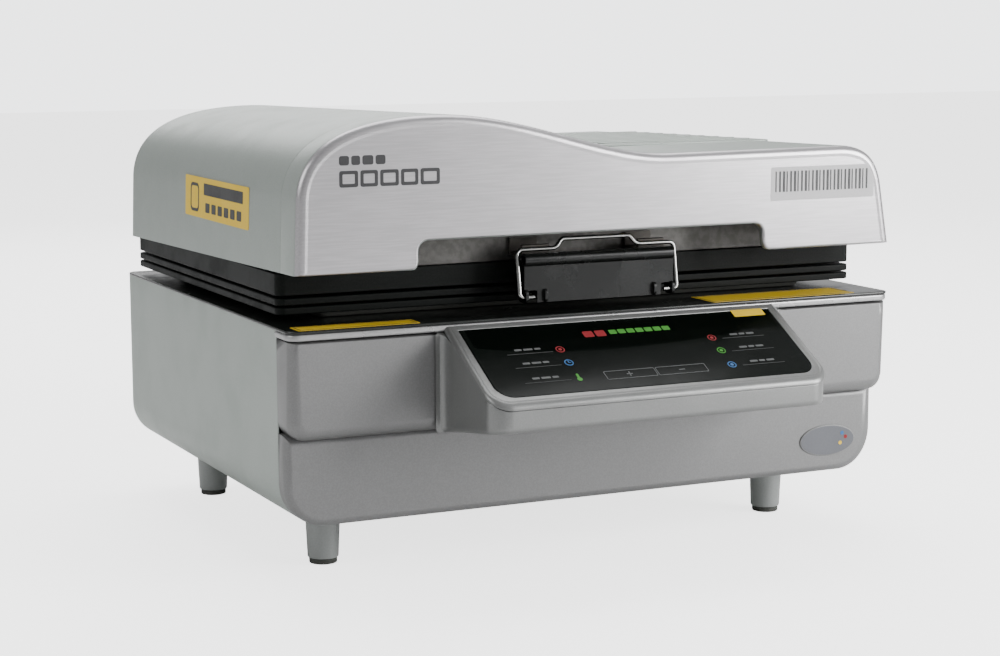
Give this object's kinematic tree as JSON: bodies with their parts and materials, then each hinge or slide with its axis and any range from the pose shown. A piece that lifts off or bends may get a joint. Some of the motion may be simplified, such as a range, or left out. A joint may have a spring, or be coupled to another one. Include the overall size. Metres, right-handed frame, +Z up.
{
  "type": "vacuum heat press",
  "caption": "Free-standing vacuum heat press for mugs: hinged hot-air lid, hinged silicone membrane frame, sunk perforated tray, wire-bail latch and sloped touch console.",
  "frame": {"origin": "centre of the whole part's footprint box, at the underside of the feet", "axes": "+X to the right seen from the front, +Y from the console towards the hinges, +Z up"},
  "size_m": [0.6096, 0.6107, 0.408],
  "materials": {
    "silver_paint": "fine satin metallic silver paint",
    "front_silver": "moulding with a faint brushed metallic silver coat",
    "deck_black": "glossy black enamel",
    "band_black": "satin black coat",
    "control_glass": "polished black panel with flush printed symbols",
    "bezel_grey": "satin metallic grey moulding",
    "foot_grey": "satin grey",
    "dark_rubber": "matt dark rubber",
    "silicone_sheet": "matt translucent red-brown silicone",
    "bright_steel": "bright plated steel",
    "bare_steel": "bare stainless steel",
    "plain_aluminium": "mill-finish aluminium",
    "zinc_sheet": "zinc-coated sheet",
    "keeper_bronze": "dull brown-grey plating",
    "black_plastic": "fine-grained black plastic",
    "insulation_wool": "felted mineral wool",
    "board_green": "circuit board",
    "motor_black": "black enamelled motor"
  },
  "bodies": {
    "base": {"base_wrap": "silver_paint", "base_fascia": "silver_paint", "base_rear_panel": "silver_paint", "deck_plate": "deck_black", "vacuum_tray": "plain_aluminium", "tray_platen": "plain_aluminium", "deck_seal": "dark_rubber", "console_housing": "bezel_grey", "control_glass": "control_glass", "control_board": "board_green", "foot_front_left": "foot_grey", "foot_front_right": "foot_grey", "foot_rear_left": "foot_grey", "foot_rear_right": "foot_grey", "foot_pad_front_left": "dark_rubber", "foot_pad_front_right": "dark_rubber", "foot_pad_rear_left": "dark_rubber", "foot_pad_rear_right": "dark_rubber", "pump_motor": "motor_black", "pump_head": "plain_aluminium", "pump_cradle": "zinc_sheet", "vacuum_valve": "black_plastic", "vacuum_hose": "silicone_sheet", "power_board": "board_green", "mains_inlet": "black_plastic", "fuse_holder": "black_plastic", "switch_bezel": "black_plastic", "cooling_fan_frame": "black_plastic", "hinge_bracket_left": "zinc_sheet", "hinge_bracket_right": "zinc_sheet", "hinge_pin_left": "bright_steel", "hinge_pin_right": "bright_steel", "hinge_spring_left": "bright_steel", "hinge_spring_right": "bright_steel"},
    "lid": {"lid_cover": "silver_paint", "lid_front_panel": "front_silver", "lid_rear_panel": "silver_paint", "chamber_casing": "zinc_sheet", "chamber_insulation": "insulation_wool", "chamber_liner": "plain_aluminium", "chamber_flange": "band_black", "air_baffle": "bare_steel", "heater_front": "bare_steel", "heater_rear": "bare_steel", "temperature_probe": "bare_steel", "fan_motor": "motor_black", "hinge_arm_left": "zinc_sheet", "hinge_arm_right": "zinc_sheet", "keeper_left": "keeper_bronze", "keeper_right": "keeper_bronze"},
    "membrane_frame": {"frame_lower": "band_black", "frame_upper": "band_black", "silicone_membrane": "silicone_sheet", "latch_bracket": "deck_black", "latch_pin": "bright_steel"},
    "latch_lever": {"latch_lever": "deck_black"},
    "latch_bail": {"latch_bail": "bright_steel"},
    "power_switch": {"switch_rocker": "black_plastic"},
    "convection_fan": {"convection_fan": "plain_aluminium"},
    "cooling_fan": {"cooling_fan_rotor": "black_plastic"}
  },
  "joints": [
    {"name": "lid_hinge", "type": "hinge", "parent": "base", "child": "lid", "pos_m": [0, 0.2955, 0.244], "axis": [-1, 0, 0], "range_deg": [0, 65]},
    {"name": "membrane_hinge", "type": "hinge", "parent": "base", "child": "membrane_frame", "pos_m": [0, 0.2955, 0.244], "axis": [-1, 0, 0], "range_deg": [0, 32.5]},
    {"name": "latch_lever_hinge", "type": "hinge", "parent": "membrane_frame", "child": "latch_lever", "pos_m": [0, -0.1805, 0.243], "axis": [1, 0, 0], "range_deg": [0, 70]},
    {"name": "latch_bail_hinge", "type": "hinge", "parent": "latch_lever", "child": "latch_bail", "pos_m": [0, -0.1875, 0.243], "axis": [1, 0, 0], "range_deg": [0, 30]},
    {"name": "power_switch_rocker", "type": "hinge", "parent": "base", "child": "power_switch", "pos_m": [0.118, 0.2725, 0.096], "axis": [-1, 0, 0], "range_deg": [0, 18]},
    {"name": "convection_fan_spin", "type": "hinge", "parent": "lid", "child": "convection_fan", "pos_m": [-0.167, 0.0585, 0.3], "axis": [0, 0, 1], "continuous": true},
    {"name": "cooling_fan_spin", "type": "hinge", "parent": "base", "child": "cooling_fan", "pos_m": [-0.19, 0.2645, 0.128], "axis": [0, 1, 0], "continuous": true}
  ],
  "couplings": [
    {"joint": "membrane_hinge", "follows": "lid_hinge", "ratio": 0.5}
  ]
}
